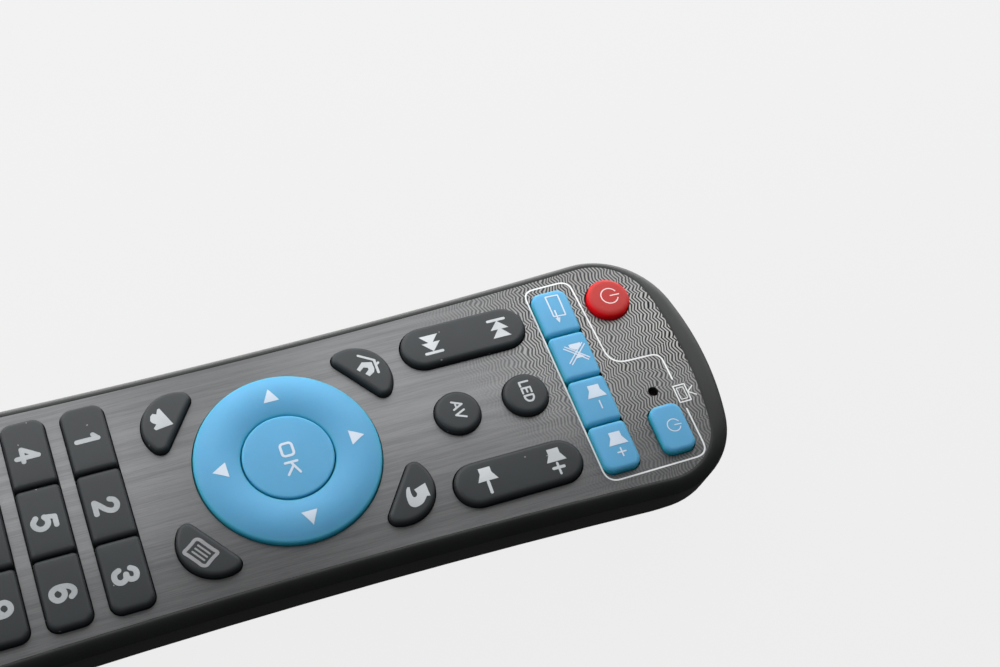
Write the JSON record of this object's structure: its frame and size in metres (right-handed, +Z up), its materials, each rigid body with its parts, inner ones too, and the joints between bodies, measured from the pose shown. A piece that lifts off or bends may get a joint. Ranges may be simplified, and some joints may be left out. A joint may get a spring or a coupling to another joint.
{
  "type": "tv box remote control",
  "caption": "Hand-held remote for a TV box: two-shell case, brushed face, silicone keys, tilting direction ring and sliding battery cover.",
  "frame": {"origin": "on the underside, below the middle of the length and width, with the remote lying on its back", "axes": "+Z up through the key face, +Y toward the infrared end, +X to the right of the keys"},
  "size_m": [0.0466, 0.165, 0.0193],
  "materials": {
    "shell": "moulded ABS with a fine texture",
    "panel": "thin metallic plate, brushed along the length",
    "dark_key": "silicone with a soft-touch coating",
    "blue_key": "dyed silicone, satin",
    "red_key": "dyed silicone, satin",
    "mat": "grey silicone sheet",
    "board": "green solder mask on fibreglass",
    "screw": "zinc plated",
    "lamp": "diffused red resin",
    "infrared_lens": "smoky blue epoxy",
    "chip": "black resin",
    "can": "drawn metal can",
    "cell": "foil-wrapped dry cell",
    "contact": "nickel-plated spring steel"
  },
  "bodies": {
    "case": {"top_shell": "shell", "face_panel": "panel", "bottom_shell": "shell", "keypad_mat": "mat", "circuit_board": "board", "board_screws": "screw", "case_screw": "screw", "indicator_lamp": "lamp", "infrared_led": "infrared_lens", "controller_chip": "chip", "crystal": "can", "capacitor": "can", "small_parts": "chip", "cell_left": "cell", "cell_right": "cell", "front_spring_contact": "contact", "front_plate_contact": "contact", "rear_bridge_contact": "contact"},
    "power_key": {"power_key": "red_key"},
    "tv_power_key": {"tv_power_key": "blue_key"},
    "led_key": {"led_key": "dark_key"},
    "round_key": {"round_key": "dark_key"},
    "home_key": {"home_key": "dark_key"},
    "back_key": {"back_key": "dark_key"},
    "pointer_key": {"pointer_key": "dark_key"},
    "menu_key": {"menu_key": "dark_key"},
    "tv_input_key": {"tv_input_key": "blue_key"},
    "tv_mute_key": {"tv_mute_key": "blue_key"},
    "tv_volume_down_key": {"tv_volume_down_key": "blue_key"},
    "tv_volume_up_key": {"tv_volume_up_key": "blue_key"},
    "number_1_key": {"number_1_key": "dark_key"},
    "number_2_key": {"number_2_key": "dark_key"},
    "number_3_key": {"number_3_key": "dark_key"},
    "number_4_key": {"number_4_key": "dark_key"},
    "number_5_key": {"number_5_key": "dark_key"},
    "number_6_key": {"number_6_key": "dark_key"},
    "number_7_key": {"number_7_key": "dark_key"},
    "number_8_key": {"number_8_key": "dark_key"},
    "number_9_key": {"number_9_key": "dark_key"},
    "info_key": {"info_key": "dark_key"},
    "number_0_key": {"number_0_key": "dark_key"},
    "delete_key": {"delete_key": "dark_key"},
    "ok_key": {"ok_key": "blue_key"},
    "skip_rocker": {"skip_rocker": "dark_key"},
    "volume_rocker": {"volume_rocker": "dark_key"},
    "fulcrum_frame": {"fulcrum_frame": "contact"},
    "direction_ring": {"direction_ring": "blue_key"},
    "battery_cover": {"battery_cover": "shell"}
  },
  "joints": [
    {"name": "power_key_press", "type": "slide", "parent": "case", "child": "power_key", "axis": [0, 0, -1], "range_m": [0, 0.00075], "stiffness_N_per_m": 1500},
    {"name": "tv_power_key_press", "type": "slide", "parent": "case", "child": "tv_power_key", "axis": [0, 0, -1], "range_m": [0, 0.00075], "stiffness_N_per_m": 1500},
    {"name": "led_key_press", "type": "slide", "parent": "case", "child": "led_key", "axis": [0, 0, -1], "range_m": [0, 0.00075], "stiffness_N_per_m": 1500},
    {"name": "round_key_press", "type": "slide", "parent": "case", "child": "round_key", "axis": [0, 0, -1], "range_m": [0, 0.00075], "stiffness_N_per_m": 1500},
    {"name": "home_key_press", "type": "slide", "parent": "case", "child": "home_key", "axis": [0, 0, -1], "range_m": [0, 0.00075], "stiffness_N_per_m": 1500},
    {"name": "back_key_press", "type": "slide", "parent": "case", "child": "back_key", "axis": [0, 0, -1], "range_m": [0, 0.00075], "stiffness_N_per_m": 1500},
    {"name": "pointer_key_press", "type": "slide", "parent": "case", "child": "pointer_key", "axis": [0, 0, -1], "range_m": [0, 0.00075], "stiffness_N_per_m": 1500},
    {"name": "menu_key_press", "type": "slide", "parent": "case", "child": "menu_key", "axis": [0, 0, -1], "range_m": [0, 0.00075], "stiffness_N_per_m": 1500},
    {"name": "tv_input_key_press", "type": "slide", "parent": "case", "child": "tv_input_key", "axis": [0, 0, -1], "range_m": [0, 0.00075], "stiffness_N_per_m": 1500},
    {"name": "tv_mute_key_press", "type": "slide", "parent": "case", "child": "tv_mute_key", "axis": [0, 0, -1], "range_m": [0, 0.00075], "stiffness_N_per_m": 1500},
    {"name": "tv_volume_down_key_press", "type": "slide", "parent": "case", "child": "tv_volume_down_key", "axis": [0, 0, -1], "range_m": [0, 0.00075], "stiffness_N_per_m": 1500},
    {"name": "tv_volume_up_key_press", "type": "slide", "parent": "case", "child": "tv_volume_up_key", "axis": [0, 0, -1], "range_m": [0, 0.00075], "stiffness_N_per_m": 1500},
    {"name": "number_1_key_press", "type": "slide", "parent": "case", "child": "number_1_key", "axis": [0, 0, -1], "range_m": [0, 0.00075], "stiffness_N_per_m": 1500},
    {"name": "number_2_key_press", "type": "slide", "parent": "case", "child": "number_2_key", "axis": [0, 0, -1], "range_m": [0, 0.00075], "stiffness_N_per_m": 1500},
    {"name": "number_3_key_press", "type": "slide", "parent": "case", "child": "number_3_key", "axis": [0, 0, -1], "range_m": [0, 0.00075], "stiffness_N_per_m": 1500},
    {"name": "number_4_key_press", "type": "slide", "parent": "case", "child": "number_4_key", "axis": [0, 0, -1], "range_m": [0, 0.00075], "stiffness_N_per_m": 1500},
    {"name": "number_5_key_press", "type": "slide", "parent": "case", "child": "number_5_key", "axis": [0, 0, -1], "range_m": [0, 0.00075], "stiffness_N_per_m": 1500},
    {"name": "number_6_key_press", "type": "slide", "parent": "case", "child": "number_6_key", "axis": [0, 0, -1], "range_m": [0, 0.00075], "stiffness_N_per_m": 1500},
    {"name": "number_7_key_press", "type": "slide", "parent": "case", "child": "number_7_key", "axis": [0, 0, -1], "range_m": [0, 0.00075], "stiffness_N_per_m": 1500},
    {"name": "number_8_key_press", "type": "slide", "parent": "case", "child": "number_8_key", "axis": [0, 0, -1], "range_m": [0, 0.00075], "stiffness_N_per_m": 1500},
    {"name": "number_9_key_press", "type": "slide", "parent": "case", "child": "number_9_key", "axis": [0, 0, -1], "range_m": [0, 0.00075], "stiffness_N_per_m": 1500},
    {"name": "info_key_press", "type": "slide", "parent": "case", "child": "info_key", "axis": [0, 0, -1], "range_m": [0, 0.00075], "stiffness_N_per_m": 1500},
    {"name": "number_0_key_press", "type": "slide", "parent": "case", "child": "number_0_key", "axis": [0, 0, -1], "range_m": [0, 0.00075], "stiffness_N_per_m": 1500},
    {"name": "delete_key_press", "type": "slide", "parent": "case", "child": "delete_key", "axis": [0, 0, -1], "range_m": [0, 0.00075], "stiffness_N_per_m": 1500},
    {"name": "ok_key_press", "type": "slide", "parent": "case", "child": "ok_key", "axis": [0, 0, -1], "range_m": [0, 0.00075], "stiffness_N_per_m": 1500},
    {"name": "skip_rocker_tilt", "type": "hinge", "parent": "case", "child": "skip_rocker", "pos_m": [-0.01318, 0.0425, 0.01506], "axis": [1, 0, 0], "range_deg": [-3, 3], "stiffness_Nm_per_rad": 0.4},
    {"name": "volume_rocker_tilt", "type": "hinge", "parent": "case", "child": "volume_rocker", "pos_m": [0.01318, 0.0425, 0.01506], "axis": [1, 0, 0], "range_deg": [-3, 3], "stiffness_Nm_per_rad": 0.4},
    {"name": "ring_tilt_up_down", "type": "hinge", "parent": "case", "child": "fulcrum_frame", "pos_m": [0, 0.0081, 0.01464], "axis": [1, 0, 0], "range_deg": [-2, 2], "stiffness_Nm_per_rad": 1},
    {"name": "ring_tilt_left_right", "type": "hinge", "parent": "fulcrum_frame", "child": "direction_ring", "pos_m": [0, 0.0081, 0.01464], "axis": [0, 1, 0], "range_deg": [-2, 2], "stiffness_Nm_per_rad": 1},
    {"name": "battery_cover_slide", "type": "slide", "parent": "case", "child": "battery_cover", "axis": [0, -1, 0], "range_m": [0, 0.06]}
  ]
}
